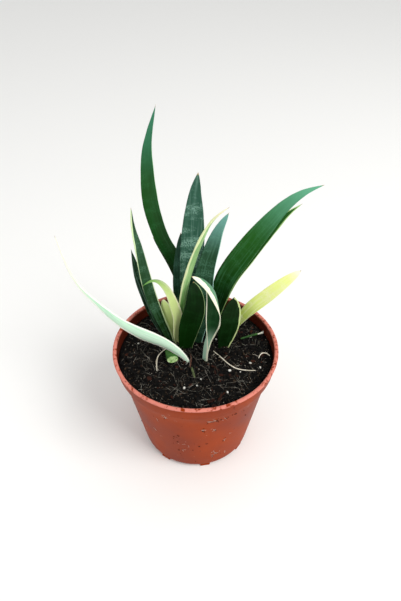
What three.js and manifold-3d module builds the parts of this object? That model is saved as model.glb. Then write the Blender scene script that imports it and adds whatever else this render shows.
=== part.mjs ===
// A young variegated snake plant in its round nursery pot: a moulded pot, potting mix,
// seventeen sword-shaped leaves, a cut stub and roots on the soil.
// Millimetres, +Z up. The origin is the centre of the pot's underside, on the resting plane.
import * as THREE from "three";
import { mergeVertices } from "three/addons/utils/BufferGeometryUtils.js";
import Module from "manifold-3d";

const wasm = await Module();
wasm.setup();

// ---------- driving dimensions ----------
const RIM_RADIUS = 55; // outside of the lip
const POT_HEIGHT = 85;
const BASE_RADIUS = 38.5;
const WALL = 1;
const FLOOR = 1.2; // thickness of the pot's floor
const LIP_WIDTH = 2.6;
const LIP_DEPTH = 2;
const LIP_ROUNDING = 0.4;
const LIP_CROWN = 0.5; // how far the lip's top stands in from its side
const LIP_SIDE = 0.6; // where the lip is widest, as a share of its depth
const COLLAR_HEIGHT = 11; // from the lip's top to the foot of the collar
const COLLAR_STEP = 3; // how far the body stands in from the collar
const COLLAR_SLOPE = 2.2; // height of the sloping step below the collar
const COLLAR_DRAFT = 0.3; // how much narrower the collar is at its foot
const FLOOR_CORNER = 2.5; // rounded edge where the body meets the underside
const CORNER_CUT = 0.3; // the middle of that rounding, as a share of it
const FOOT_HEIGHT = 1.5;
const FOOT_LENGTH = 7;
const FOOT_DEPTH = 4;
const FOOT_INSET = 0.3; // from the base's outside to a foot
const FOOT_COUNT = 8;
const FOOT_TURN = 10; // degrees from the front to the nearest foot
const PAD_RADIUS = 11; // flat pad in the middle of the underside
const DRAIN_RADIUS = 2.4;
const DRAIN_CIRCLE = 26; // radius of the circle that the drain holes lie on
const POT_SEGMENTS = 48;

const SOIL_BELOW_RIM = 8;
const SOIL_EDGE = 1.2; // chamfer round the soil, next to the pot
const SOIL_TAPER = 0.2; // more room between soil and pot at the bottom
const CLEARANCE = 0.3; // between touching pieces
const SPREAD = 51.8; // radius of the soil that the leaves and loose pieces are laid out for
const ROOT_DEPTH = 7; // how far a leaf reaches into the soil
const GATHER = 0.92; // a leaf's foot is this share as far from the middle as where it comes up
const FOOT_END = 0.6; // how far a leaf's foot bulges past its last ring
const RING_SPACING = 6; // along a leaf, closer towards the tip
const TIP_CROWDING = 1.25; // 1 would space them evenly
const TROUGH = 0.35; // how far its trough lies behind its spine, as a share of the trough's depth
const LEAF_EDGE = 0.5; // thickness at a leaf's margin
const THIN_TIP = 0.3; // a leaf thins where it is narrower than this share of twice its width
const POCKET_REACH = 16; // height above the soil up to which its pockets are cut

const ROOT_SIDES = 6; // sides of a thin root or twig
const STUB_SIDES = 12;
const END_SHARE = 0.8; // an end's radius as a share of the rod's
const END_REACH = 0.2; // how far an end bulges, as a share of the rod's radius

const SOIL_TOP = POT_HEIGHT - SOIL_BELOW_RIM;
const BODY_RADIUS = RIM_RADIUS - LIP_WIDTH + WALL - COLLAR_STEP; // outside, at the body's top
const FLOOR_TOP = FOOT_HEIGHT + FLOOR;
const SOIL_RADIUS = RIM_RADIUS - LIP_WIDTH - COLLAR_DRAFT - CLEARANCE;
const GROWTH = SOIL_RADIUS / SPREAD; // a plant is as large as its pot lets it be

// ---------- materials ----------
const paint = (color, roughness) => new THREE.MeshStandardMaterial({ color, roughness, metalness: 0 });
const POT_PLASTIC = paint(0xb0492c, 0.5);
const PEAT = paint(0x1d1712, 0.95);
const DEEP_GREEN = paint(0x1c4a24, 0.4);
const PALE_GREEN = paint(0xa9cfa6, 0.5);
const YELLOW_GREEN = paint(0xd3dc86, 0.5);
const ROOT_WHITE = paint(0xcdbfa6, 0.8);
const TWIG_BROWN = paint(0x4a2a1c, 0.9);

// ---------- solids ----------
const degrees = (angle) => (angle * Math.PI) / 180;

function toSolid(geometry) {
  const bare = geometry.index ? geometry.toNonIndexed() : geometry.clone();
  for (const name of ["normal", "uv"]) bare.deleteAttribute(name);
  const merged = mergeVertices(bare, 1e-3);
  return new wasm.Manifold(
    new wasm.Mesh({
      numProp: 3,
      vertProperties: new Float32Array(merged.attributes.position.array),
      triVerts: new Uint32Array(merged.index.array),
    }),
  );
}

function toGeometry(solid) {
  const mesh = solid.getMesh();
  const points = new Float32Array(mesh.numVert * 3);
  for (let i = 0; i < mesh.numVert; i++)
    points.set(mesh.vertProperties.subarray(i * mesh.numProp, i * mesh.numProp + 3), i * 3);
  return new THREE.BufferGeometry()
    .setAttribute("position", new THREE.BufferAttribute(points, 3))
    .setIndex(new THREE.BufferAttribute(mesh.triVerts, 1));
}

const largestBody = (solid) => solid.decompose().sort((a, b) => b.volume() - a.volume())[0];

// A profile of [radius, height] pairs turned about Z.
function turned(profile) {
  const points = profile.map(([radius, height]) => new THREE.Vector2(radius, height));
  return new THREE.LatheGeometry(points, POT_SEGMENTS).rotateX(Math.PI / 2);
}

function placed(geometry, x, y, z, turn = 0) {
  return geometry.rotateZ(turn).translate(x, y, z);
}

const plant = new THREE.Group();

function addPiece(name, geometry, material) {
  const mesh = new THREE.Mesh(geometry, material);
  mesh.name = name;
  plant.add(mesh);
}

// ---------- pot ----------
// The outside radius of the tapered body at a height.
function bodyRadius(height) {
  const top = POT_HEIGHT - COLLAR_HEIGHT - COLLAR_SLOPE;
  return BASE_RADIUS + ((BODY_RADIUS - BASE_RADIUS) * (height - FOOT_HEIGHT)) / (top - FOOT_HEIGHT);
}

function potShell() {
  const lipInside = RIM_RADIUS - LIP_WIDTH;
  const collar = lipInside + WALL;
  const collarFoot = POT_HEIGHT - COLLAR_HEIGHT;
  const slopeFoot = collarFoot - COLLAR_SLOPE;
  return turned([
    [0, FOOT_HEIGHT],
    [BASE_RADIUS - FLOOR_CORNER, FOOT_HEIGHT],
    [BASE_RADIUS - FLOOR_CORNER * CORNER_CUT, FOOT_HEIGHT + FLOOR_CORNER * CORNER_CUT],
    [bodyRadius(FOOT_HEIGHT + FLOOR_CORNER), FOOT_HEIGHT + FLOOR_CORNER],
    [BODY_RADIUS, slopeFoot],
    [collar - COLLAR_DRAFT, collarFoot],
    [collar, POT_HEIGHT - LIP_DEPTH],
    [RIM_RADIUS - LIP_ROUNDING, POT_HEIGHT - LIP_DEPTH],
    [RIM_RADIUS, POT_HEIGHT - LIP_DEPTH * LIP_SIDE],
    [RIM_RADIUS - LIP_CROWN, POT_HEIGHT],
    [lipInside + LIP_ROUNDING, POT_HEIGHT],
    [lipInside, POT_HEIGHT - LIP_ROUNDING],
    [lipInside - COLLAR_DRAFT, collarFoot],
    [BODY_RADIUS - WALL, slopeFoot],
    [bodyRadius(FLOOR_TOP) - WALL, FLOOR_TOP],
    [0, FLOOR_TOP],
  ]);
}

function pot() {
  let shell = toSolid(potShell());
  const drain = new THREE.CylinderGeometry(DRAIN_RADIUS, DRAIN_RADIUS, 3 * FLOOR, 16).rotateX(Math.PI / 2);
  const middle = FOOT_HEIGHT + FLOOR / 2;
  const rise = FLOOR / 2; // how far feet and pad reach into the floor
  for (let i = 0; i < FOOT_COUNT; i++) {
    const angle = degrees(-90 + FOOT_TURN + (i * 360) / FOOT_COUNT);
    const away = BASE_RADIUS - FOOT_DEPTH / 2 - FOOT_INSET;
    const foot = new THREE.BoxGeometry(FOOT_DEPTH, FOOT_LENGTH, FOOT_HEIGHT + rise);
    placed(foot, 0, 0, 0, angle).translate(away * Math.cos(angle), away * Math.sin(angle), 0);
    shell = shell.add(toSolid(foot.translate(0, 0, (FOOT_HEIGHT + rise) / 2)));
    const between = angle + degrees(180 / FOOT_COUNT);
    const [x, y] = [DRAIN_CIRCLE * Math.cos(between), DRAIN_CIRCLE * Math.sin(between)];
    shell = shell.subtract(toSolid(drain.clone().translate(x, y, middle)));
  }
  const pad = new THREE.CylinderGeometry(PAD_RADIUS, PAD_RADIUS, FOOT_HEIGHT + rise, 32).rotateX(Math.PI / 2);
  return shell.add(toSolid(pad.translate(0, 0, (FOOT_HEIGHT + rise) / 2)));
}

// ---------- leaves ----------
// A leaf stands on spine[0] at the soil's surface, given as [x, y, height above the soil],
// and follows the other points to its tip. width is its widest, fullest is where along its
// length that is, neck is its width at the soil as a share of that. A low point makes a blunt
// tip and a high one a long fine tip. faces is the compass direction, in degrees from +X, of
// the upper side at the soil, and twist is how far it turns, all of it by the share turnedBy of
// its length. channel is the depth of its trough as a share of half its width.
const LEAVES = {
  leaf_tall_left: {
    spine: [
      [-4, 35, 0], [-9, 32, 42], [-14, 32, 56], [-21, 33, 69],
      [-27, 34, 94], [-28, 35, 113], [-27, 37, 131], [-21, 40, 153],
    ],
    width: 9.5, fullest: 0.62, neck: 0.7, point: 1.2,
    faces: -70, twist: -10, channel: 0.5, thick: 2,
  },
  leaf_behind_tall: {
    spine: [[-6, 41, 0], [-9, 38, 29], [-14, 38, 44], [-20, 39, 55], [-28, 41, 66]],
    width: 8, fullest: 0.5, neck: 0.6, point: 0.8,
    faces: -80, twist: 0, channel: 0.4, thick: 1.8,
  },
  leaf_centre_broad: {
    spine: [[-5, 21, 0], [-3, 19, 52], [-1, 21, 88], [0, 22, 107], [2, 23, 121]],
    width: 14.5, fullest: 0.6, neck: 0.5, point: 0.8,
    faces: -90, twist: 5, channel: 0.3, thick: 2.2,
  },
  leaf_behind_centre: {
    spine: [[-8, 27, 0], [-9, 26, 34], [-9, 27, 58], [-9, 28, 78]],
    width: 12, fullest: 0.5, neck: 0.6, point: 0.8,
    faces: -90, twist: 0, channel: 0.3, thick: 2,
  },
  leaf_striped_centre: {
    spine: [[-10, 14, 0], [-7, 11, 41], [-1, 8, 70], [7, 4, 96], [12, 1, 106], [19, -1, 113]],
    width: 7, fullest: 0.45, neck: 0.6, point: 1.1,
    faces: 140, twist: 0, channel: 0.5, thick: 1.7, skin: PALE_GREEN,
  },
  leaf_centre_right: {
    spine: [[1, 11, 0], [4, 13, 27], [6, 16, 58], [10, 18, 73], [14, 19, 86], [20, 20, 97]],
    width: 13, fullest: 0.4, neck: 0.45, point: 0.7,
    faces: -85, twist: 0, channel: 0.35, thick: 2.2,
  },
  leaf_front_spoon: {
    spine: [[-7, 5, 0], [-4, 5, 20], [0, 6, 38], [-1, 7, 56]],
    width: 14, fullest: 0.48, neck: 0.6, point: 0.5,
    faces: -90, twist: 0, channel: 0.25, thick: 2.4,
  },
  leaf_curled_front: {
    spine: [
      [6, -4, 0], [7, -4, 11], [9.5, -5, 26], [11.3, -5.5, 37], [12.3, -6.5, 45],
      [11, -8.5, 58], [7.5, -10.5, 67], [2.5, -13, 73.5], [-2, -15, 77],
    ],
    width: 9.6, fullest: 0.55, neck: 0.72, point: 0.7,
    faces: -5, twist: -160, turnedBy: 0.85, channel: 0.85, thick: 1.6,
  },
  leaf_right_blunt: {
    spine: [[19, 6, 0], [22, 8, 18], [24, 10, 30], [25, 11, 40]],
    width: 14, fullest: 0.45, neck: 0.5, point: 0.5,
    faces: -85, twist: 0, channel: 0.2, thick: 2.4,
  },
  leaf_yellow_right: {
    spine: [[26, 23, 0], [36, 22, 19], [48, 23, 31], [58, 24, 41], [69, 26, 50]],
    width: 9.5, fullest: 0.5, neck: 0.4, point: 0.5,
    faces: -125, twist: 0, channel: 0.25, thick: 1.7, skin: YELLOW_GREEN,
  },
  leaf_long_right: {
    spine: [
      [9, 21, 0], [15, 21, 29], [21, 22, 49], [30, 24, 64],
      [42, 26, 82], [54, 28, 97], [64, 29, 105], [76, 31, 109],
    ],
    width: 14, fullest: 0.45, neck: 0.5, shoulder: 1.7, point: 1,
    faces: -120, twist: 0, channel: 0.45, thick: 2.2,
  },
  leaf_under_right: {
    spine: [[13, 28, 0], [23, 27, 40], [35, 29, 60], [48, 30, 79], [57, 31, 90], [65, 32, 96]],
    width: 9, fullest: 0.5, neck: 0.5, point: 1,
    faces: -120, twist: 0, channel: 0.2, thick: 1.8,
  },
  leaf_long_left: {
    spine: [
      [-5, -8, 0], [-18, -6, 13], [-35, -3, 20], [-49, 0, 28],
      [-62, 3, 41], [-72, 5, 54], [-78, 7, 71], [-81, 8, 89],
    ],
    width: 9.5, fullest: 0.28, neck: 0.3, shoulder: 1.1, point: 1.7,
    faces: 90, twist: 0, channel: 0.3, thick: 1.5, skin: PALE_GREEN,
  },
  leaf_left_inner: {
    spine: [
      [-17, 11, 0], [-23, 12, 18], [-28, 13, 34], [-32, 15, 55],
      [-35, 17, 76], [-37, 18, 89], [-37, 19, 101],
    ],
    width: 7.5, fullest: 0.4, neck: 0.55, point: 1,
    faces: -60, twist: 0, channel: 0.45, thick: 2,
  },
  leaf_left_outer: {
    spine: [[-20, 15, 0], [-27, 17, 13], [-33, 19, 32], [-38, 21, 52], [-40, 22, 70]],
    width: 8, fullest: 0.5, neck: 0.55, point: 1,
    faces: -40, twist: 0, channel: 0.5, thick: 1.8,
  },
  leaf_young_arched: {
    spine: [
      [-13, 10, 0], [-13, 8, 14], [-12, 8, 26], [-14, 6, 37],
      [-16, 4, 48], [-20, 2, 58], [-25, 0, 63], [-32, -2, 59],
    ],
    width: 7.5, fullest: 0.3, neck: 0.5, shoulder: 1.6, point: 0.9,
    faces: -50, twist: 0, channel: 0.4, thick: 1.4, skin: YELLOW_GREEN,
  },
  leaf_young_left: {
    spine: [[-15, 16, 0], [-18, 15, 17], [-20, 15, 27], [-21, 15, 35]],
    width: 8.5, fullest: 0.55, neck: 0.4, point: 0.45,
    faces: 70, twist: 0, channel: 0.4, thick: 1.3, skin: YELLOW_GREEN,
  },
};

// Half the leaf's width at a share of its length, above the soil.
function halfWidth(leaf, along) {
  const { width, fullest, neck, shoulder = 1.8, point } = leaf;
  if (along < fullest)
    return (width / 2) * (neck + (1 - neck) * Math.sin((Math.PI / 2) * Math.max(0, along / fullest)));
  const past = (along - fullest) / (1 - fullest);
  return (width / 2) * Math.pow(1 - Math.pow(past, shoulder), point);
}

// How far a leaf has turned about its length, in radians: slowly at first and at the end.
function twistAt({ twist, turnedBy = 1 }, along) {
  const share = Math.min(1, Math.max(0, along / turnedBy));
  return degrees(twist) * share * share * (3 - 2 * share);
}

// A leaf or loose piece is laid out about the middle of the soil's surface, and then put there
// at the size that suits the pot.
function onSoil(geometry) {
  return geometry.scale(GROWTH, GROWTH, GROWTH).translate(0, 0, SOIL_TOP);
}

// The frames of a leaf's rings: its middle, its side direction and its upper direction.
function leafRings(leaf) {
  const [first, ...rest] = leaf.spine.map(([x, y, z]) => new THREE.Vector3(x, y, z));
  const foot = new THREE.Vector3(first.x * GATHER, first.y * GATHER, -ROOT_DEPTH);
  const curve = new THREE.CatmullRomCurve3([foot, first, ...rest]);
  const length = curve.getLength();
  const buried = foot.distanceTo(first) / length;
  const count = Math.round(length / RING_SPACING);
  const upper = new THREE.Vector3(Math.cos(degrees(leaf.faces)), Math.sin(degrees(leaf.faces)), 0);
  const rings = [];
  for (let i = 0; i < count; i++) {
    const share = 1 - Math.pow(1 - i / count, TIP_CROWDING);
    const heading = curve.getTangentAt(share);
    upper.addScaledVector(heading, -upper.dot(heading)).normalize();
    const above = (share - buried) / (1 - buried);
    const turned = upper.clone().applyAxisAngle(heading, twistAt(leaf, above));
    rings.push({
      middle: curve.getPointAt(share),
      side: heading.clone().cross(turned),
      upper: turned,
      half: halfWidth(leaf, above),
    });
  }
  return { rings, tip: curve.getPointAt(1), heading: curve.getTangentAt(0) };
}

// How far a channelled leaf's surface stands above its spine, at a share of its half width.
const channelRise = (leaf, ring, share) => leaf.channel * ring.half * (share * share - TROUGH);

// The end of a leaf's foot, below the bottom of its trough.
function footEnd(leaf, { rings, heading }, extra) {
  const { middle, upper } = rings[0];
  const bottom = middle.clone().addScaledVector(upper, channelRise(leaf, rings[0], 0));
  return bottom.addScaledVector(heading, -FOOT_END - extra);
}

// The points of one cross-section, round the leaf: five on the upper side, five below.
function section(leaf, ring, extra) {
  const shares = [-1, -0.55, 0, 0.55, 1];
  const full = Math.min(1, ring.half / (leaf.width * THIN_TIP));
  const at = (share, face) => {
    const thickness = LEAF_EDGE + (leaf.thick * full - LEAF_EDGE * full) * (1 - share * share);
    return ring.middle
      .clone()
      .addScaledVector(ring.side, share * (ring.half + extra))
      .addScaledVector(ring.upper, channelRise(leaf, ring, share) + face * (thickness / 2 + extra));
  };
  return [...shares.map((s) => at(s, 1)), ...shares.reverse().map((s) => at(s, -1))];
}

// A closed skin over rings of points, with a point at each end.
function skin(loops, start, end) {
  const round = loops[0].length;
  const points = [start, ...loops.flat(), end];
  const last = points.length - 1;
  const index = [];
  const at = (i, j) => 1 + i * round + (j % round);
  for (let j = 0; j < round; j++) {
    index.push(0, at(0, j + 1), at(0, j));
    index.push(last, at(loops.length - 1, j), at(loops.length - 1, j + 1));
    for (let i = 0; i < loops.length - 1; i++) {
      index.push(at(i, j), at(i + 1, j + 1), at(i + 1, j));
      index.push(at(i, j), at(i, j + 1), at(i + 1, j + 1));
    }
  }
  return new THREE.BufferGeometry().setFromPoints(points).setIndex(index);
}

function blade(leaf) {
  const shape = leafRings(leaf);
  const loops = shape.rings.map((ring) => section(leaf, ring, 0));
  return onSoil(skin(loops, footEnd(leaf, shape, 0), shape.tip));
}

// The pocket that a leaf stands in: its buried part and a little more, with room all round.
function pocket(leaf) {
  const shape = leafRings(leaf);
  const low = shape.rings.filter((ring) => ring.middle.z < POCKET_REACH);
  const room = CLEARANCE / GROWTH;
  const loops = low.map((ring) => section(leaf, ring, room));
  return onSoil(skin(loops, footEnd(leaf, shape, room), shape.rings[low.length].middle));
}

// ---------- loose pieces on the soil ----------
// Each lies along points, given as [x, y, height of its middle above where it rests].
const LITTER = {
  leaf_stub: {
    path: [[-17, -1, 0], [-16, -5, 0], [-15, -10, 0.5]],
    radius: 3, sides: STUB_SIDES, steps: 6, skin: PALE_GREEN,
  },
  green_stem: {
    path: [[31, 12, 0], [38, 15, 0], [46, 18, 0]],
    radius: 1.1, sides: STUB_SIDES, steps: 5, skin: DEEP_GREEN,
  },
  brown_twig: {
    path: [[-3.5, -2, 0], [-3, -8, 0], [-3.5, -14, 0]],
    radius: 0.5, sides: ROOT_SIDES, steps: 6, skin: TWIG_BROWN,
  },
  root_front: {
    path: [[12, 1, 0], [17, -5, 0], [22, -12, 0], [29, -17, 0], [39, -17, 0]],
    radius: 0.45, sides: ROOT_SIDES, steps: 14, skin: ROOT_WHITE,
  },
  root_left: {
    path: [[-20, 3, 0], [-25, -2, 0], [-26, -10, 0], [-25, -17, 0]],
    radius: 0.45, sides: ROOT_SIDES, steps: 10, skin: ROOT_WHITE,
  },
  root_right: {
    path: [[42, -6, 0], [43.5, -1.5, 0], [48, -1, 0], [49.5, -4, 0]],
    radius: 0.45, sides: ROOT_SIDES, steps: 10, skin: ROOT_WHITE,
  },
};

// A round rod along points, narrower at both ends.
function rod({ path, radius, sides, steps }) {
  const rest = CLEARANCE / GROWTH + radius;
  const curve = new THREE.CatmullRomCurve3(path.map(([x, y, z]) => new THREE.Vector3(x, y, rest + z)));
  const loops = [];
  const upper = new THREE.Vector3(0, 0, 1);
  for (let i = 0; i <= steps; i++) {
    const heading = curve.getTangentAt(i / steps);
    upper.addScaledVector(heading, -upper.dot(heading)).normalize();
    const side = heading.clone().cross(upper);
    const size = i === 0 || i === steps ? radius * END_SHARE : radius;
    loops.push(
      Array.from({ length: sides }, (_, j) => {
        const angle = (-2 * Math.PI * j) / sides;
        return curve
          .getPointAt(i / steps)
          .addScaledVector(side, size * Math.cos(angle))
          .addScaledVector(upper, size * Math.sin(angle));
      }),
    );
  }
  const reach = radius * END_REACH;
  const start = curve.getPointAt(0).addScaledVector(curve.getTangentAt(0), -reach);
  return onSoil(skin(loops, start, curve.getPointAt(1).addScaledVector(curve.getTangentAt(1), reach)));
}

for (const [name, leaf] of Object.entries(LEAVES)) addPiece(name, blade(leaf), leaf.skin ?? DEEP_GREEN);
for (const [name, piece] of Object.entries(LITTER)) addPiece(name, rod(piece), piece.skin);

// ---------- soil ----------
function soil() {
  const inset = WALL + CLEARANCE;
  const slopeFoot = POT_HEIGHT - COLLAR_HEIGHT - COLLAR_SLOPE;
  const bottom = FLOOR_TOP + CLEARANCE;
  let mix = toSolid(
    turned([
      [0, bottom],
      [bodyRadius(bottom) - inset - SOIL_TAPER, bottom],
      [BODY_RADIUS - inset, slopeFoot],
      [SOIL_RADIUS, slopeFoot + COLLAR_SLOPE],
      [SOIL_RADIUS, SOIL_TOP - SOIL_EDGE],
      [SOIL_RADIUS - SOIL_EDGE, SOIL_TOP],
      [0, SOIL_TOP],
    ]),
  );
  for (const leaf of Object.values(LEAVES)) mix = mix.subtract(toSolid(pocket(leaf)));
  return largestBody(mix);
}

addPiece("nursery_pot", toGeometry(pot()), POT_PLASTIC);
addPiece("potting_mix", toGeometry(soil()), PEAT);

export default plant;
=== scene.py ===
"""A young variegated snake plant in its round nursery pot, as it is put together: the pot is
moulded, filled with potting mix and planted, and what lies on the mix comes last.
Metres, +Z up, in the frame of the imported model."""

import math
import random

import bpy
import numpy as np
from mathutils import Euler, Matrix, Vector
from mathutils.bvhtree import BVHTree


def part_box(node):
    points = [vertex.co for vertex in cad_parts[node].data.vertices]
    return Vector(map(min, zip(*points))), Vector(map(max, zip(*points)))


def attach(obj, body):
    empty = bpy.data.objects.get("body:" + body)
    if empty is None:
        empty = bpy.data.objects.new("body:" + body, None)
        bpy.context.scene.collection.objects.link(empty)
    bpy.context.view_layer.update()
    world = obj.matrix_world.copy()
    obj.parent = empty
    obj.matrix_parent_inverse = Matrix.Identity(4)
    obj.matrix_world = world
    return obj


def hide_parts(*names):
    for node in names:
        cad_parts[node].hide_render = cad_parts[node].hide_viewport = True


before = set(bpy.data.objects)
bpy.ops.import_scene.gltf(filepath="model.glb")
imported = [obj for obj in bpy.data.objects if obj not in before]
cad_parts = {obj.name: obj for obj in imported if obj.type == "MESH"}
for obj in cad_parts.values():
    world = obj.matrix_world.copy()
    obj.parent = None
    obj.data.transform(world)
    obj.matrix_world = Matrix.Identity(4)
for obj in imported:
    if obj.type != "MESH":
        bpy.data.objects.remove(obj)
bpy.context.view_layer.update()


# ---------- studio ----------
# A white sheet under the plant, a large softbox high on the right, a weaker one on the left
# and a pale room all round, so that shadows are faint and glossy leaves still show a sheen.
def linear(colour):
    """An sRGB hex colour as linear red, green, blue and alpha."""
    parts = [int(colour[i : i + 2], 16) / 255 for i in (1, 3, 5)]
    return (*[c / 12.92 if c <= 0.04045 else ((c + 0.055) / 1.055) ** 2.4 for c in parts], 1.0)


def new_material(name):
    made = bpy.data.materials.new(name)
    made.use_nodes = True
    made.node_tree.nodes.clear()
    return made


def node(owner, kind, inputs, stops=None, **settings):
    """Adds a node with its settings. An input is given a value, or linked to a socket."""
    tree = owner.node_tree
    made = tree.nodes.new("ShaderNode" + kind)
    for name, value in settings.items():
        setattr(made, name, value)
    for place, value in inputs.items():
        if isinstance(value, bpy.types.NodeSocket):
            tree.links.new(value, made.inputs[place])
        else:
            made.inputs[place].default_value = value
    if stops:
        ramp = made.color_ramp.elements
        for i, (position, colour) in enumerate(stops):
            stop = ramp[i] if i < 2 else ramp.new(position)
            stop.position, stop.color = position, linear(colour)
    return made


LIGHT_AIM = Vector((0, 0, 0.08))  # about the middle of the plant


def area_light(name, place, size, watts, colour):
    lamp = bpy.data.lights.new(name, "AREA")
    lamp.size, lamp.energy, lamp.color = size, watts, linear(colour)[:3]
    lamp_object = bpy.data.objects.new(name, lamp)
    lamp_object.location = place
    lamp_object.rotation_euler = (LIGHT_AIM - Vector(place)).to_track_quat("-Z", "Y").to_euler()
    bpy.context.scene.collection.objects.link(lamp_object)


FLOOR_SIZE = 8.0
bpy.ops.object.select_all(action="DESELECT")
bpy.ops.mesh.primitive_plane_add(size=FLOOR_SIZE)
floor = bpy.context.object
floor.name = "studio_floor"
floor_paper = new_material("matt_white_paper")
paper_shader = node(
    floor_paper, "BsdfPrincipled", {"Base Color": linear("#f6f6f4"), "Roughness": 0.9}
)
node(floor_paper, "OutputMaterial", {"Surface": paper_shader.outputs[0]})
floor.data.materials.append(floor_paper)

area_light("softbox_right", (0.75, -0.55, 1.15), 0.7, 13, "#fffefc")
area_light("softbox_left", (-0.9, -0.5, 0.8), 0.8, 1.5, "#fbfcff")

room = bpy.data.worlds.new("pale_room")
room.use_nodes = True
room.node_tree.nodes.clear()
room_light = node(room, "Background", {"Color": linear("#fafafa"), "Strength": 0.76})
node(room, "OutputWorld", {"Surface": room_light.outputs[0]})
bpy.context.scene.world = room
bpy.context.scene.view_settings.view_transform = "Standard"

CAMERA_PLACE = (0.0032637, -0.2443786, 0.3321724)
CAMERA_TILT = 49.5  # degrees up from looking straight down
CAMERA_LENS = 31.148
camera = bpy.data.objects.new("camera", bpy.data.cameras.new("camera"))
camera.data.lens = CAMERA_LENS
camera.data.sensor_width = 36
camera.data.clip_start, camera.data.clip_end = 0.01, 20
camera.location = CAMERA_PLACE
camera.rotation_euler = (math.radians(CAMERA_TILT), 0, 0)
bpy.context.scene.collection.objects.link(camera)
bpy.context.scene.camera = camera


# ---------- nursery pot ----------
# One thin shell of terracotta-coloured polypropylene, injection moulded in one shot: a rolled
# lip, a collar, a tapered body, eight low feet, a pad under the middle and eight drain holes.
MM = 0.001
pot_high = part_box("nursery_pot")[1]
RIM_RADIUS, POT_HEIGHT = pot_high.y, pot_high.z
WALL = 1.0 * MM
FOOT_HEIGHT = 1.5 * MM
FLOOR_TOP = FOOT_HEIGHT + 1.2 * MM
BASE_RADIUS = 38.5 * MM
BODY_TOP_RADIUS = RIM_RADIUS - 4.6 * MM
STEP_FOOT, COLLAR_FOOT = POT_HEIGHT - 13.2 * MM, POT_HEIGHT - 11 * MM
COLLAR_RADIUS = RIM_RADIUS - 1.6 * MM
LIP_INSIDE = RIM_RADIUS - 2.6 * MM
LIP_FOOT = POT_HEIGHT - 2 * MM
LIP_ROUND = 1.0 * MM
HEEL_ROUND, HEEL_OUT = 3 * MM, 3.4 * MM  # the heel is drawn out a little to meet the taper
PAD_RADIUS = 11 * MM
FOOT_SIZE = (4 * MM, 7 * MM, 2.1 * MM)  # deep, long and high, its top 0.6 mm in the floor
FOOT_BEVEL = 0.6 * MM
FOOT_CIRCLE = BASE_RADIUS - 2.3 * MM
FOOT_COUNT = 8
FOOT_TURN = 10  # degrees from the front to the first foot
DRAIN_RADIUS, DRAIN_CIRCLE = 2.4 * MM, 26 * MM
DRAIN_CUT = 6 * MM  # long enough to pass through the floor
POT_SIDES = 160


def body_radius(height):
    """Outside radius of the tapered body."""
    share = (height - FOOT_HEIGHT) / (STEP_FOOT - FOOT_HEIGHT)
    return BASE_RADIUS + (BODY_TOP_RADIUS - BASE_RADIUS) * share


def only(piece):
    """Makes this the one selected and active object."""
    bpy.ops.object.select_all(action="DESELECT")
    piece.select_set(True)
    bpy.context.view_layer.objects.active = piece


def turn_up(name, profile, sides):
    """Raises a closed round shell ring by ring, from a disc at the first radius and height."""
    (radius, height), *rest = profile
    bpy.ops.object.select_all(action="DESELECT")
    bpy.ops.mesh.primitive_circle_add(
        vertices=sides, radius=radius, fill_type="TRIFAN", location=(0, 0, height)
    )
    piece = bpy.context.object
    piece.name = piece.data.name = name
    bpy.ops.object.transform_apply()
    bpy.ops.object.mode_set(mode="EDIT")
    bpy.ops.mesh.select_all(action="SELECT")
    bpy.ops.mesh.region_to_loop()
    for next_radius, next_height in rest:
        bpy.ops.mesh.extrude_edges_move(
            TRANSFORM_OT_translate={"value": (0, 0, next_height - height)}
        )
        grow = next_radius / radius
        bpy.ops.transform.resize(value=(grow, grow, 1), center_override=(0, 0, next_height))
        radius, height = next_radius, next_height
    bpy.ops.mesh.merge(type="CENTER")
    bpy.ops.mesh.select_all(action="SELECT")
    bpy.ops.mesh.remove_doubles(threshold=1e-7)
    bpy.ops.mesh.normals_make_consistent(inside=False)
    bpy.ops.object.mode_set(mode="OBJECT")
    return piece


def settle(piece):
    """Puts a finished piece's place into its mesh, so that its object sits at the origin."""
    only(piece)
    bpy.ops.object.transform_apply()
    return piece


def apply_modifier(piece, kind, **settings):
    only(piece)
    made = piece.modifiers.new(kind.lower(), kind)
    for name, value in settings.items():
        setattr(made, name, value)
    bpy.ops.object.modifier_apply(modifier=made.name)


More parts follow.
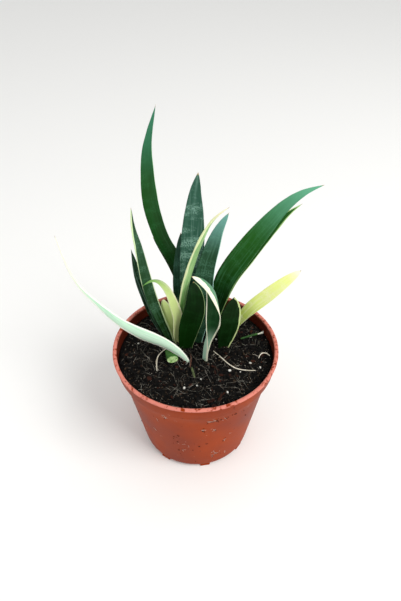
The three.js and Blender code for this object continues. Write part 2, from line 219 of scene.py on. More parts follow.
CORNER_STEPS = 5
corner = [
    (
        BASE_RADIUS - HEEL_ROUND + HEEL_OUT * math.sin(math.radians(a)),
        FOOT_HEIGHT + HEEL_ROUND * (1 - math.cos(math.radians(a))),
    )
    for a in np.linspace(0, 78, CORNER_STEPS)
]
body_rings = [(body_radius(h), h) for h in np.linspace(FOOT_HEIGHT + 4 * MM, STEP_FOOT, 9)]
lip_middle = (RIM_RADIUS + LIP_INSIDE) / 2
lip_half = (RIM_RADIUS - LIP_INSIDE) / 2
lip_round = [
    (lip_middle + lip_half * math.cos(a), POT_HEIGHT - LIP_ROUND + LIP_ROUND * math.sin(a))
    for a in np.linspace(math.radians(-20), math.radians(200), 13)
]
pot = turn_up(
    "nursery_pot_shell",
    [
        (2 * MM, 0.25 * MM),
        (3 * MM, 0),
        (PAD_RADIUS - 0.4 * MM, 0),
        (PAD_RADIUS, 0.4 * MM),
        (PAD_RADIUS + 0.2 * MM, FOOT_HEIGHT),
        *corner,
        *body_rings,
        (BODY_TOP_RADIUS + 0.35 * MM, STEP_FOOT + 0.4 * MM),
        (COLLAR_RADIUS - 0.9 * MM, COLLAR_FOOT - 0.5 * MM),
        (COLLAR_RADIUS - 0.3 * MM, COLLAR_FOOT + 0.4 * MM),
        (COLLAR_RADIUS, LIP_FOOT - 0.3 * MM),
        (COLLAR_RADIUS + 0.3 * MM, LIP_FOOT),
        *lip_round,
        (LIP_INSIDE, LIP_FOOT - 1 * MM),
        (LIP_INSIDE - 0.3 * MM, COLLAR_FOOT),
        (BODY_TOP_RADIUS - WALL, STEP_FOOT),
        (body_radius(FLOOR_TOP) - WALL, FLOOR_TOP + 1 * MM),
        (body_radius(FLOOR_TOP) - WALL - 1 * MM, FLOOR_TOP),
        (1 * MM, FLOOR_TOP),
    ],
    POT_SIDES,
)

floor_middle = (FOOT_HEIGHT + FLOOR_TOP) / 2
feet, drains = [], []
for i in range(FOOT_COUNT):
    turn = math.radians(-90 + FOOT_TURN + 360 * i / FOOT_COUNT)
    bpy.ops.object.select_all(action="DESELECT")
    bpy.ops.mesh.primitive_cube_add(
        size=1,
        location=(FOOT_CIRCLE * math.cos(turn), FOOT_CIRCLE * math.sin(turn), FOOT_SIZE[2] / 2),
        rotation=(0, 0, turn),
        scale=FOOT_SIZE,
    )
    foot = settle(bpy.context.object)
    apply_modifier(foot, "BEVEL", width=FOOT_BEVEL, segments=3)
    feet.append(foot)
    turn += math.radians(180 / FOOT_COUNT)
    bpy.ops.object.select_all(action="DESELECT")
    bpy.ops.mesh.primitive_cylinder_add(
        vertices=32,
        radius=DRAIN_RADIUS,
        depth=DRAIN_CUT,
        location=(DRAIN_CIRCLE * math.cos(turn), DRAIN_CIRCLE * math.sin(turn), floor_middle),
    )
    drains.append(settle(bpy.context.object))


def joined(pieces, name):
    """Joins pieces into the first of them."""
    only(pieces[0])
    for piece in pieces:
        piece.select_set(True)
    bpy.ops.object.join()
    pieces[0].name = pieces[0].data.name = name
    return pieces[0]


for tools, operation in ((feet, "UNION"), (drains, "DIFFERENCE")):
    tool = joined(tools, "pot_tool")
    apply_modifier(pot, "BOOLEAN", object=tool, operation=operation, solver="EXACT")
    bpy.data.objects.remove(tool)

# The thin lip was pulled from the mould warm, so it wavers by a tenth of a millimetre or two.
LIP_WAVES = ((0.1, 3, 0.4), (0.07, 11, 0), (0.04, 29, 0))  # mm high, times round, start
LIP_DROP = 0.12 * MM  # the waves lie about a height this far under the pot's
for vertex in pot.data.vertices:
    if vertex.co.z > LIP_FOOT - 0.5 * MM:
        around = math.atan2(vertex.co.y, vertex.co.x)
        waver = sum(high * math.sin(times * around + start) for high, times, start in LIP_WAVES)
        vertex.co.z += waver * MM - LIP_DROP


def laid_over(material, colour, coats):
    """Lays coats over a colour, one after another. A coat has its colour, its greatest share,
    and one or more values, each with where the coat starts and where it is full."""
    for coat, share, *steps in coats:
        for value, start, full in steps:
            step = node(
                material,
                "MapRange",
                {"Value": value, "From Min": start, "From Max": full},
                interpolation_type="SMOOTHSTEP",
            )
            product = node(material, "Math", {0: share, 1: step.outputs[0]}, operation="MULTIPLY")
            share = product.outputs[0]
        over = linear(coat) if isinstance(coat, str) else coat
        mixed = node(material, "Mix", {0: share, 6: colour, 7: over}, data_type="RGBA")
        colour = mixed.outputs[2]
    return colour


# Injection-moulded polypropylene, terracotta masterbatch: a satin skin with a faint orange
# peel, a lighter pink on the lip that is partly rubbed wear and partly a painted highlight,
# and dried splashes of peat and hard water. The wall inside the collar is darker: partly
# stained by damp, partly painted shade.
def moulded_plastic(name, dark, light, rubbed_and_highlight_colour):
    plastic = new_material(name)
    place = node(plastic, "TexCoord", {}).outputs["Object"]
    cloud = node(plastic, "TexNoise", {"Vector": place, "Scale": 28, "Detail": 4}).outputs["Fac"]
    pigment = node(plastic, "ValToRGB", {"Fac": cloud}, stops=((0.32, dark), (0.68, light)))
    height = node(plastic, "SeparateXYZ", {"Vector": place}).outputs["Z"]
    scuff = node(plastic, "TexNoise", {"Vector": place, "Scale": 420, "Detail": 3}).outputs["Fac"]
    lip = (height, LIP_FOOT - 0.4 * MM, POT_HEIGHT - 0.9 * MM)
    # The lip's lighter pink coat is partly rubbed wear and partly a painted highlight.
    coats = [(rubbed_and_highlight_colour, 1, lip, (scuff, 0.34, 0.5))]
    # Splashed peat in spots about 4 mm wide, hard water about 5 mm and dust about 1 mm.
    for scale, start, full, most, stain in (
        (260, 0.63, 0.7, 0.8, "#3a2018"),
        (190, 0.64, 0.74, 0.45, "#dcb9a6"),
        (1100, 0.66, 0.72, 0.7, "#5a2c20"),
    ):
        speck = node(
            plastic, "TexNoise", {"Vector": place, "Scale": scale, "Detail": 5, "Roughness": 0.7}
        )
        coats.append((stain, most, (speck.outputs["Fac"], start, full)))
    colour = laid_over(plastic, pigment.outputs["Color"], coats)
    peel = node(plastic, "TexNoise", {"Vector": place, "Scale": 900, "Detail": 2})
    bump = node(
        plastic, "Bump", {"Height": peel.outputs["Fac"], "Strength": 0.25, "Distance": 0.08 * MM}
    )
    dull = node(
        plastic,
        "MapRange",
        {"Value": cloud, "From Min": 0.3, "From Max": 0.7, "To Min": 0.42, "To Max": 0.55},
    )
    shader = node(
        plastic,
        "BsdfPrincipled",
        {
            "Base Color": colour,
            "Roughness": dull.outputs[0],
            "Normal": bump.outputs[0],
            "IOR": 1.49,
            "Specular IOR Level": 0.12,
        },
    )
    node(plastic, "OutputMaterial", {"Surface": shader.outputs[0]})
    return plastic


pot.data.materials.clear()
pot.data.materials.append(
    moulded_plastic("injection_moulded_polypropylene", "#7a2600", "#9c3a04", "#d27e6f")
)
# A darker copy of the plastic for the inward faces: partly damp stain, partly painted shade inside
# the pot.
pot.data.materials.append(moulded_plastic("damp_and_shaded_polypropylene", "#551f12", "#6a2818", "#d27e6f"))
for face in pot.data.polygons:
    inward = face.normal.x * face.center.x + face.normal.y * face.center.y < 0
    if inward and FLOOR_TOP < face.center.z < LIP_FOOT + 0.5 * MM:
        face.material_index = 1
only(pot)
bpy.ops.object.shade_smooth_by_angle(angle=math.radians(40))
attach(pot, "root")
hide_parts("nursery_pot")


# ---------- potting mix ----------
# Moist dark peat, loosely filled to 8 mm below the lip: crumbs, fibres, bits of bark and a
# few white grains of perlite. It is one bed with its crumbs lying on it.
SOIL_TOP = POT_HEIGHT - 8 * MM
SOIL_RADIUS = LIP_INSIDE - 0.6 * MM
SOIL_SIDES = 160
draw = random.Random(7)
bed = turn_up(
    "peat_bed",
    [
        (body_radius(FLOOR_TOP) - WALL - 1.6 * MM, FLOOR_TOP + 0.3 * MM),
        (BODY_TOP_RADIUS - WALL - 0.3 * MM, STEP_FOOT),
        (SOIL_RADIUS, COLLAR_FOOT),
        (SOIL_RADIUS, SOIL_TOP - 1.4 * MM),
        *[(r, SOIL_TOP - 0.6 * MM) for r in np.linspace(SOIL_RADIUS - 0.9 * MM, 1 * MM, 44)],
    ],
    SOIL_SIDES,
)
surface = bed.vertex_groups.new(name="surface")
surface.add([v.index for v in bed.data.vertices if v.co.z > SOIL_TOP - 1 * MM], 1, "REPLACE")
BED_WAVES = ((9, 3.0), (2.8, 2.6), (1.0, 1.5))  # how wide and how strong, in millimetres
for size, strength in BED_WAVES:
    waves = bpy.data.textures.new(f"waves_{size}", "CLOUDS")
    waves.noise_scale = size * MM
    apply_modifier(
        bed,
        "DISPLACE",
        texture=waves,
        texture_coords="LOCAL",
        strength=strength * MM,
        mid_level=0.5,
        direction="Z",
        vertex_group="surface",
    )


# What the mix is made of takes its colour from fine noise of its own scale, in mottled steps
# from its damp to its dry tone, and is rough, with grit of about half a millimetre.
def loose_matter(name, damp, middle, dry, scale=340, rough=(0.6, 0.95), grit=0.4):
    matter = new_material(name)
    place = node(matter, "TexCoord", {}).outputs["Object"]
    cloud = node(
        matter, "TexNoise", {"Vector": place, "Scale": scale, "Detail": 6, "Roughness": 0.7}
    )
    colour = node(
        matter,
        "ValToRGB",
        {"Fac": cloud.outputs["Fac"]},
        stops=((0.38, damp), (0.56, middle), (0.72, dry)),
    )
    grain = node(matter, "TexNoise", {"Vector": place, "Scale": 1500, "Detail": 4})
    bump = node(
        matter, "Bump", {"Height": grain.outputs["Fac"], "Strength": 0.8, "Distance": grit * MM}
    )
    dryness = node(
        matter,
        "MapRange",
        {
            "Value": cloud.outputs["Fac"],
            "From Min": 0.35,
            "From Max": 0.6,
            "To Min": rough[0],
            "To Max": rough[1],
        },
    )
    shader = node(
        matter,
        "BsdfPrincipled",
        {
            "Base Color": colour.outputs["Color"],
            "Roughness": dryness.outputs[0],
            "Normal": bump.outputs[0],
            "Specular IOR Level": 0.15,
        },
    )
    node(matter, "OutputMaterial", {"Surface": shader.outputs[0]})
    return matter


# Damp sphagnum peat, milled: nearly black, browner where a crumb has dried.
peat = loose_matter("milled_sphagnum_peat", "#020202", "#0a0807", "#241d16")
dry_peat = loose_matter("dry_sphagnum_peat", "#1c1510", "#3b2f24", "#6b5b48")
bark = loose_matter("composted_pine_bark", "#1c0e0a", "#35190f", "#5b3526", rough=(0.7, 0.95))
grit = loose_matter("washed_grit", "#5f5b52", "#8f897c", "#c4beb1", scale=500, grit=0.1)
perlite = loose_matter("expanded_perlite", "#b9b6ac", "#e2e0d8", "#f6f5f0", grit=0.2)
fibre = loose_matter("dried_root_fibre", "#3f3c34", "#77736a", "#bfbcb2", scale=120, grit=0.1)
bed.data.materials.append(peat)
only(bed)
bpy.ops.object.shade_smooth()
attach(bed, "root")
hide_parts("potting_mix")

bed_surface = BVHTree.FromObject(bed, bpy.context.evaluated_depsgraph_get())


def soil_height(x, y):
    """The height of the bed's surface at a place."""
    where = bed_surface.ray_cast(Vector((x, y, POT_HEIGHT)), Vector((0, 0, -1)))[0]
    return where.z if where else SOIL_TOP


def model_crumb(name, sides, rough, seed):
    """An irregular crumb, 1 mm across, with as many sides round it."""
    bpy.ops.object.select_all(action="DESELECT")
    bpy.ops.mesh.primitive_uv_sphere_add(segments=sides, ring_count=sides - 1, radius=0.5 * MM)
    crumb = bpy.context.object
    crumb.name = name
    bpy.ops.object.mode_set(mode="EDIT")
    bpy.ops.mesh.select_all(action="SELECT")
    bpy.ops.transform.vertex_random(offset=rough * MM, seed=seed)
    bpy.ops.object.mode_set(mode="OBJECT")
    return crumb


def strand(name, points, radius, rounds=1, smooth=4):
    """A thin round strand that bends along points, a little thinner at both ends."""
    line = bpy.data.curves.new(name, "CURVE")
    line.dimensions = "3D"
    line.bevel_depth, line.bevel_resolution = radius, rounds
    line.use_fill_caps, line.resolution_u = True, smooth
    spline = line.splines.new("NURBS")
    spline.points.add(len(points) - 1)
    for point, place in zip(spline.points, points):
        point.co = (*place, 1)
    spline.points[0].radius = spline.points[-1].radius = 0.6
    spline.use_endpoint_u, spline.order_u = True, 3
    piece = bpy.data.objects.new(name, line)
    bpy.context.scene.collection.objects.link(piece)
    only(piece)
    bpy.ops.object.convert(target="MESH")
    bpy.ops.object.mode_set(mode="EDIT")
    bpy.ops.mesh.select_all(action="SELECT")
    bpy.ops.mesh.remove_doubles(threshold=1e-7)
    bpy.ops.mesh.normals_make_consistent(inside=False)
    bpy.ops.object.mode_set(mode="OBJECT")
    return bpy.context.object


def copies_of(name, patterns, places):
    """One piece that holds a copy of a pattern at each place, turned and sized by its matrix."""
    shapes = []
    for pattern in patterns:
        points = np.ones((len(pattern.data.vertices), 4))
        points[:, :3] = [v.co for v in pattern.data.vertices]
        shapes.append((points, [list(p.vertices) for p in pattern.data.polygons]))
    points, faces, start = [], [], 0
    for place in places:
        shape, sides = draw.choice(shapes)
        points.append((shape @ np.array(place).T)[:, :3])
        faces.extend([start + i for i in side] for side in sides)
        start += len(shape)
    mesh = bpy.data.meshes.new(name)
    mesh.from_pydata(np.concatenate(points).tolist(), [], faces)
    piece = bpy.data.objects.new(name, mesh)
    bpy.context.scene.collection.objects.link(piece)
    for pattern in patterns:
        bpy.data.objects.remove(pattern)
    return piece


def lying_about(count, reach, sizes, flat, sink, tilt=0.5):
    """Random places over the bed, each a matrix that turns and sizes what lies there. A larger
    sink sets a thing deeper, and one under 0.25 leaves its middle above the bed."""
    places = []
    for _ in range(count):
        away, around = reach * math.sqrt(draw.random()), draw.uniform(0, 2 * math.pi)
        x, y = away * math.cos(around), away * math.sin(around)
        size = draw.uniform(*sizes)
        scale = Matrix.Diagonal((
            size * draw.uniform(0.8, 1.5),
            size * draw.uniform(0.6, 1.1),
            size * draw.uniform(*flat),
            1,
        ))
        lean = Euler((draw.gauss(0, tilt), draw.gauss(0, tilt), draw.uniform(0, 6.3)))
        turn = lean.to_matrix().to_4x4()
        z = soil_height(x, y) + (0.25 - sink) * size * MM
        places.append(Matrix.Translation((x, y, z)) @ turn @ scale)
    return places


def crumbs(sides, rough):
    return [model_crumb(f"crumb_{i}", sides, rough, i) for i in range(4)]


def wandering(length, wander, bends=4):
    """Points of a fibre of a length along X, which wanders from side to side."""
    half = length / 2
    return [
        (x * MM, draw.gauss(0, wander) * MM, draw.gauss(0, wander / 3) * MM)
        for x in np.linspace(-half, half, bends)
    ]


# Each kind's name and material, its crumbs' sides and roughness, how many there are, their
# sizes in millimetres, how flat they are, how deep they sink and how far they tilt.
EDGE = SOIL_RADIUS - 1.5 * MM
KINDS = (
    ("peat_crumbs", peat, (5, 0.16), (3400, EDGE, (0.6, 1.6), (0.6, 1.2), 0.1)),
    ("dry_crumbs", dry_peat, (5, 0.18), (1300, EDGE, (0.5, 1.3), (0.5, 1.1), -0.1)),
    ("peat_lumps", peat, (7, 0.08), (420, EDGE, (1.6, 3.4), (0.5, 1.0), 0.2)),
    ("bark_bits", bark, (6, 0.2), (80, EDGE, (1.2, 3.2), (0.3, 0.6), -0.1, 0.3)),
    ("grit_grains", grit, (5, 0.14), (380, EDGE, (0.35, 0.75), (0.6, 1.0), -0.7)),
    ("perlite_grains", perlite, (7, 0.09), (26, EDGE, (0.9, 1.9), (0.7, 1.0), -0.2)),
)
lots = [(crumbs(*shape), lying_about(*spread)) for _, _, shape, spread in KINDS]
for (name, matter, _, _), (patterns, places) in zip(KINDS, lots):
    piece = copies_of(name, patterns, places)
    piece.data.materials.append(matter)
    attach(piece, "root")

fibre_patterns = [
    strand(f"fibre_{i}", wandering(8, 0.7), 0.09 * MM, rounds=0, smooth=3) for i in range(6)
]
fibres = copies_of(
    "peat_fibres",
    fibre_patterns,
    lying_about(150, SOIL_RADIUS - 8 * MM, (0.5, 1.3), (0.8, 1.2), -1.1, 0.16),
)
chips = copies_of(
    "peat_chips",
    [strand(f"chip_{i}", wandering(2.4, 0.25, 3), 0.13 * MM, 0, 2) for i in range(5)],
    lying_about(620, EDGE - 1 * MM, (0.4, 1.5), (0.7, 1.2), -0.5, 0.35),
)
# A few long fibres and thin roots lie across the mix.
long_ones = [
    strand(f"long_{i}", [(x * MM, y * MM, SOIL_TOP + z * MM) for x, y, z in line], 0.16 * MM, 1)
    for i, line in enumerate((
        ((-5, 2.5, 1.6), (-3, -3, 1.2), (0.5, -7.5, 1.2)),
        ((0.5, -7.5, 1.2), (5, -6.5, 1.6), (11, -7.5, 1.2)),
        ((-38, 3.5, 1.0), (-35, -2, 1.6), (-31, -6.5, 1.0)),
        ((-31, -6.5, 1.0), (-28, -11, 1.6), (-26.5, -16.5, 0.8)),
        ((6, -15, 0.9), (7, -20, 1.7), (10, -27, 1.0)),
        ((-17, -30, 1.2), (-12, -32, 1.7), (-7, -36, 1.0)),
        ((-16, -36, 1.0), (-13, -33, 1.9), (-10, -29, 1.2)),
    ))
]
for piece in (fibres, chips, joined(long_ones, "long_fibres")):
    piece.data.materials.clear()
    piece.data.materials.append(fibre)
    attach(piece, "root")

# ---------- leaves ----------
# Seventeen stiff, fleshy, channelled blades that grow in fans from a root under the mix. Each
# is a living sheath with a thin hard margin and a short dried point. They are worked up from
# the planned solids: the facets are merged into rings of quads and smoothed.
RING_SHARES = (-1, -0.55, 0, 0.55, 1, 1, 0.55, 0, -0.55, -1)  # upper side, then under side
RING_POINTS = len(RING_SHARES)
LEAF_WAVE = 0.5 * MM  # a leaf's surface is uneven by this much over a centimetre
leaf_waves = bpy.data.textures.new("leaf_waves", "CLOUDS")
leaf_waves.noise_scale = 11 * MM


def rings_of(mesh):
    """The indices of a blade's rings, each ten points in order, and those of its two ends."""
    links = [set() for _ in mesh.vertices]
    for edge in mesh.edges:
        a, b = edge.vertices
        links[a].add(b)
        links[b].add(a)
    ends = [v.index for v in mesh.vertices if len(links[v.index]) == RING_POINTS]
    ends.sort(key=lambda i: mesh.vertices[i].co.z)
    foot, tip = ends[0], ends[-1]
    after = {}
    for polygon in mesh.polygons:
        corners = list(polygon.vertices)
        if foot in corners:
            k = corners.index(foot)
            after[corners[k - 1]] = corners[(k + 1) % 3]
    ring = [next(iter(after))]
    while len(ring) < RING_POINTS:
        ring.append(after[ring[-1]])
    rings, passed = [ring], {foot}
    while tip not in links[ring[0]]:
        above = [links[i] - set(ring) - passed for i in ring]
        passed = set(ring)
        ring = [(above[j] - above[(j + 1) % RING_POINTS]).pop() for j in range(RING_POINTS)]
        rings.append(ring)
    return rings, foot, tip


def start_at_left_margin(rings, points):
    """Turns each ring's order so that it starts at the upper side's left margin."""
    middle = points[rings[len(rings) // 2]]
    gap = np.linalg.norm(middle - np.roll(middle, 1, axis=0), axis=1)
    turn = min(range(5), key=lambda k: gap[k] + gap[k + 5])
    order = np.roll(middle, -turn, axis=0)
    rise = (order[0] + order[4] + order[5] + order[9]) / 4 - (order[2] + order[7]) / 2
    if (order[2] - order[7]) @ rise < 0:
        turn += 5
    return [ring[turn:] + ring[:turn] for ring in rings]


def keep(mesh, name, kind, values):
    """Stores a value for each point, which the modifiers carry along."""
    stored = mesh.attributes.new(name, kind, "POINT")
    stored.data.foreach_set("vector" if kind == "FLOAT_VECTOR" else "value", np.ravel(values))


def blade(name):
    """A smooth quad copy of a planned leaf, which knows how far each point is across and along."""
    piece = bpy.data.objects.new(name.replace("leaf_", "blade_"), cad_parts[name].data.copy())
    bpy.context.scene.collection.objects.link(piece)
    only(piece)
    bpy.ops.mesh.customdata_custom_splitnormals_clear()
    bpy.ops.object.mode_set(mode="EDIT")
    bpy.ops.mesh.select_all(action="SELECT")
    bpy.ops.mesh.remove_doubles(threshold=1e-6)
    bpy.ops.mesh.select_mode(type="EDGE")
    bpy.ops.mesh.select_all(action="DESELECT")
    bpy.ops.object.mode_set(mode="OBJECT")
    mesh = piece.data
    points = np.array([v.co for v in mesh.vertices])
    rings, foot, tip = rings_of(mesh)
    rings = start_at_left_margin(rings, points)
    diagonals, margins = set(), set()
    for ring, above in zip(rings, rings[1:]):
        for j in range(RING_POINTS):
            diagonals.add(frozenset((ring[j], above[(j + 1) % RING_POINTS])))
            if abs(RING_SHARES[j]) == 1:
                margins.add(frozenset((ring[j], above[j])))
    creases = mesh.attributes.new("crease_edge", "FLOAT", "EDGE")
    for edge in mesh.edges:
        pair = frozenset(edge.vertices)
        edge.select = pair in diagonals
        creases.data[edge.index].value = 1.0 if pair in margins else 0.0
    across, travelled, rim, face = np.zeros((4, len(points)))
    middles = np.array([points[ring].mean(axis=0) for ring in rings] + [points[tip]])
    steps = np.linalg.norm(np.diff(middles, axis=0), axis=1)
    lengths = np.concatenate(([0], np.cumsum(steps)))
    for ring, length in zip(rings, lengths):
        half = np.linalg.norm(points[ring[0]] - points[ring[4]]) / 2
        across[ring] = np.array(RING_SHARES) * half / MM
        rim[ring] = (1 - np.abs(RING_SHARES)) * half / MM
        travelled[ring] = length / MM
        face[ring] = [1] * 5 + [0] * 5
    travelled[tip] = lengths[-1] / MM
    reach = travelled / travelled[tip]
    side = np.sign(across)
    keep(mesh, "blade", "FLOAT_VECTOR", np.stack([across, travelled, reach], axis=1))
    keep(mesh, "margin", "FLOAT_VECTOR", np.stack([rim, side, face], axis=1))
    crease = np.zeros(len(points))
    crease[[foot, tip]] = 1
    keep(mesh, "crease_vert", "FLOAT", crease)
    bpy.ops.object.mode_set(mode="EDIT")
    bpy.ops.mesh.dissolve_edges(use_verts=False)
    bpy.ops.mesh.select_mode(type="VERT")
    bpy.ops.object.mode_set(mode="OBJECT")
    apply_modifier(piece, "SUBSURF", levels=2, render_levels=2)
    apply_modifier(
        piece,
        "DISPLACE",
        texture=leaf_waves,
        texture_coords="LOCAL",
        strength=LEAF_WAVE,
        mid_level=0.5,
    )
    only(piece)
    bpy.ops.object.shade_smooth()
    return piece


DRIED_POINT = "#a58f63"


# Living snake plant leaf: a hard waxy cuticle over fine lengthwise ridges, deep green at the
# foot and greyer above, with pale cross-bands of mottling, cream margins with no chlorophyll
# and a dried point. The wax gives a soft broad sheen, and a little light passes through. The
# pale bloom colour is the leaf's own mottling in the bands, and in the lengthwise streaks it
# is partly a painted sheen.
def leaf_skin(
    name,
    foot,
    top,
    bloom_and_sheen,
    bands=0.3,
    streaks=0.25,
    margin="#d9e6b4",
    left=(0.2, 0.2),
    right=(0.2, 0.2),
    under=None,
    end=None,
    end_from=0.8,
    gloss=0.4,
    greens=(0.08, 0.7),
    seed=0,
):
    skin = new_material(name)
    blade_at = node(skin, "Attribute", {}, attribute_name="blade").outputs["Vector"]
    margin_at = node(skin, "Attribute", {}, attribute_name="margin").outputs["Vector"]
    reach = node(skin, "SeparateXYZ", {"Vector": blade_at}).outputs["Z"]
    rim, side, face = node(skin, "SeparateXYZ", {"Vector": margin_at}).outputs
    # Streaks run the leaf's length, each about 1 mm wide and 25 mm long; in the pale bloom colour
    # they are partly a painted sheen along the channel.
    streak_place = node(
        skin,
        "Mapping",
        {"Vector": blade_at, "Scale": (0.9, 0.04, 0), "Location": (seed, seed, seed)},
    )
    streak = node(skin, "TexNoise", {"Vector": streak_place.outputs[0], "Scale": 1, "Detail": 3})
    streak_at = streak.outputs["Fac"]
    # Bands cross the leaf every 6 mm or so, broken up by flecks of about half a millimetre.
    band_place = node(
        skin, "Mapping", {"Vector": blade_at, "Scale": (0.07, 0.17, 0), "Location": (seed, 0, seed)}
    )
    band = node(
        skin,
        "TexNoise",
        {
            "Vector": band_place.outputs[0],
            "Scale": 1,
            "Detail": 4,
            "Roughness": 0.62,
            "Distortion": 0.5,
        },
    )
    fleck_place = node(skin, "Mapping", {"Vector": blade_at, "Scale": (1.5, 1.0, 0)})
    fleck = node(skin, "TexNoise", {"Vector": fleck_place.outputs[0], "Scale": 1, "Detail": 2})
    fleck_at = fleck.outputs["Fac"]
    growth = (
        (top, 1, (reach, *greens)),
        (bloom_and_sheen, streaks, (streak_at, 0.45, 0.72)),
        (bloom_and_sheen, bands, (band.outputs["Fac"], 0.44, 0.66), (fleck_at, 0.36, 0.62)),
    )
    colour = laid_over(skin, linear(foot), growth)
    if under:
        under_foot, under_top, under_streak = under
        sides = (
            (under_top, 1, (reach, 0.2, 0.6)),
            (under_streak, 0.5, (streak_at, 0.45, 0.75)),
            (colour, 1, (face, 0.4, 0.6)),
        )
        colour = laid_over(skin, linear(under_foot), sides)
    # The cream margin: its width on either side changes from the foot to the point.
    widths = [
        node(skin, "MapRange", {"Value": reach, "To Min": low, "To Max": high}).outputs[0]
        for low, high in (left, right)
    ]
    on_right = node(
        skin,
        "MapRange",
        {"Value": side, "From Min": -0.1, "From Max": 0.1},
        interpolation_type="SMOOTHSTEP",
    )
    width = node(skin, "Mix", {0: on_right.outputs[0], 2: widths[0], 3: widths[1]})
    wander = node(
        skin,
        "MapRange",
        {
            "Value": streak_at,
            "From Min": 0.3,
            "From Max": 0.7,
            "To Min": 0.6,
            "To Max": 1.35,
        },
    )
    uneven = node(skin, "Math", {0: width.outputs[0], 1: wander.outputs[0]}, operation="MULTIPLY")
    beyond = node(skin, "Math", {0: uneven.outputs[0], 1: rim}, operation="SUBTRACT").outputs[0]
    edges = [(margin, 1, (beyond, -0.12, 0.12))]
    if end:
        edges.append((end, 1, (reach, end_from, 1.0)))
    edges.append((DRIED_POINT, 1, (reach, 0.985, 0.998)))
    colour = laid_over(skin, colour, edges)
    ridge_place = node(skin, "Mapping", {"Vector": blade_at, "Scale": (2.2, 0.05, 0)})
    ridge = node(skin, "TexNoise", {"Vector": ridge_place.outputs[0], "Scale": 1, "Detail": 2})
    ridges = node(
        skin,
        "Bump",
        {"Height": ridge.outputs["Fac"], "Strength": 0.35, "Distance": 0.12 * MM},
    )
    wax = node(
        skin,
        "MapRange",
        {
            "Value": fleck_at,
            "From Min": 0.3,
            "From Max": 0.7,
            "To Min": gloss - 0.06,
            "To Max": gloss + 0.08,
        },
    )
    shader = node(
        skin,
        "BsdfPrincipled",
        {
            "Base Color": colour,
            "Roughness": wax.outputs[0],
            "Normal": ridges.outputs[0],
            "IOR": 1.45,
            "Specular IOR Level": 0.15,
            "Subsurface Weight": 0.05,
            "Subsurface Radius": (0.6 * MM, 1.2 * MM, 0.4 * MM),
        },
    )
    node(skin, "OutputMaterial", {"Surface": shader.outputs[0]})
    return skin


